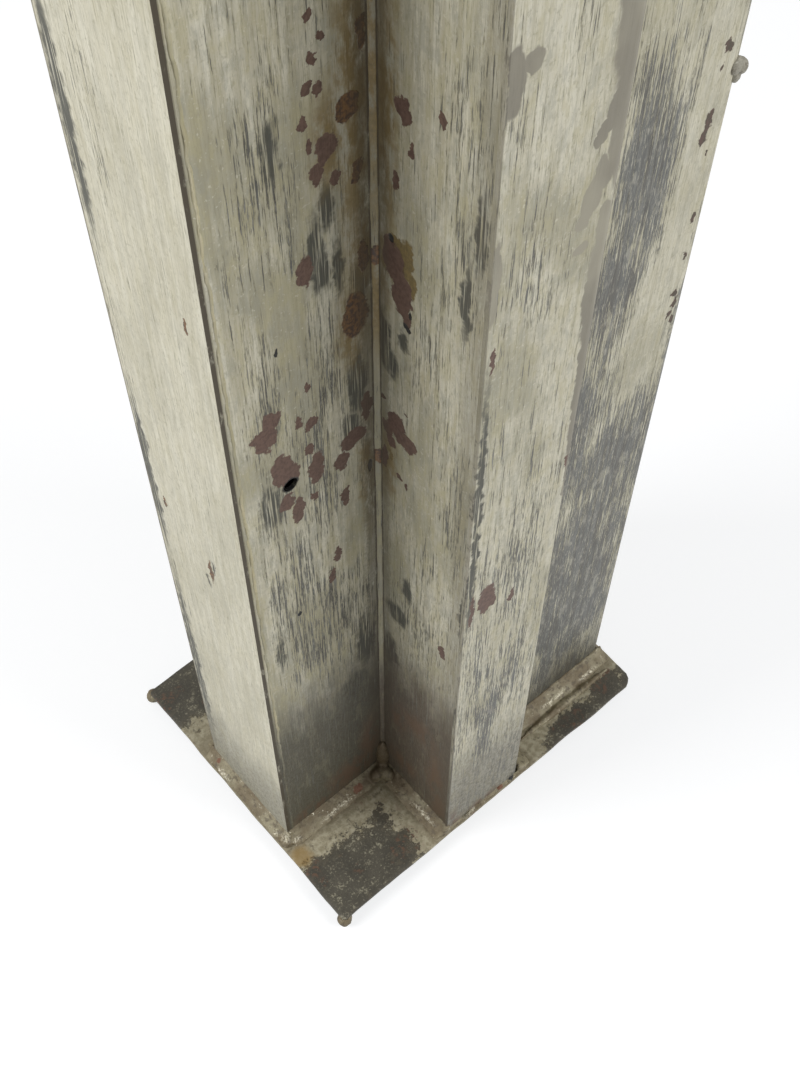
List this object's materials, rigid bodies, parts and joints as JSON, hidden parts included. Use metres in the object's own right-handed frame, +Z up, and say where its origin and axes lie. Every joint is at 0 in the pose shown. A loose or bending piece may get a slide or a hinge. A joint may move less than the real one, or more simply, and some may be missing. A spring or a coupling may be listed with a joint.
{
  "type": "model signal mast",
  "caption": "Hollow soldered-sheet signal mast with a stepped, cross-like section, standing on a thin flat base plate with solder ball feet and closed by a flat cap.",
  "frame": {"origin": "on the ground, midway between the four corner feet", "axes": "+Z up the mast, +X from the left arm to the right box, -Y towards the front arm with the drilled panel's side"},
  "size_m": [0.1036, 0.0844, 0.42],
  "materials": {
    "pale_paint": "thin cream paint, brushed on, lightly worn",
    "worn_paint": "thin cream paint, brushed on, stained and chipped to red primer",
    "scrubbed_paint": "cream paint scrubbed through to dark brushed steel",
    "plate_steel": "dark tarnished sheet with dried residue",
    "bare_steel": "dull bare sheet",
    "solder": "dull lumpy solder"
  },
  "bodies": {
    "root": {"base_plate": "plate_steel", "corner_feet": "solder", "left_arm_end_strip": "pale_paint", "left_arm_front_panel": "worn_paint", "left_arm_rear_panel": "worn_paint", "front_arm_left_panel": "worn_paint", "rear_arm_left_panel": "worn_paint", "front_arm_angle": "worn_paint", "rear_arm_angle": "worn_paint", "right_box_front_angle": "scrubbed_paint", "right_box_rear_angle": "scrubbed_paint", "right_box_seam_strap": "bare_steel", "left_arm_front_stiffener": "bare_steel", "left_arm_rear_stiffener": "bare_steel", "front_arm_stiffener": "bare_steel", "rear_arm_stiffener": "bare_steel", "lower_diaphragm": "bare_steel", "middle_diaphragm": "bare_steel", "upper_diaphragm": "bare_steel", "corner_solder_front_left": "solder", "corner_solder_front_right": "solder", "corner_solder_rear_left": "solder", "corner_solder_rear_right": "solder", "foot_solder_left_arm": "solder", "foot_solder_front_arm": "solder", "foot_solder_rear_arm": "solder", "foot_solder_right_box": "solder", "solder_drip": "solder", "top_cap": "worn_paint", "cap_locating_tabs": "bare_steel"}
  },
  "joints": []
}
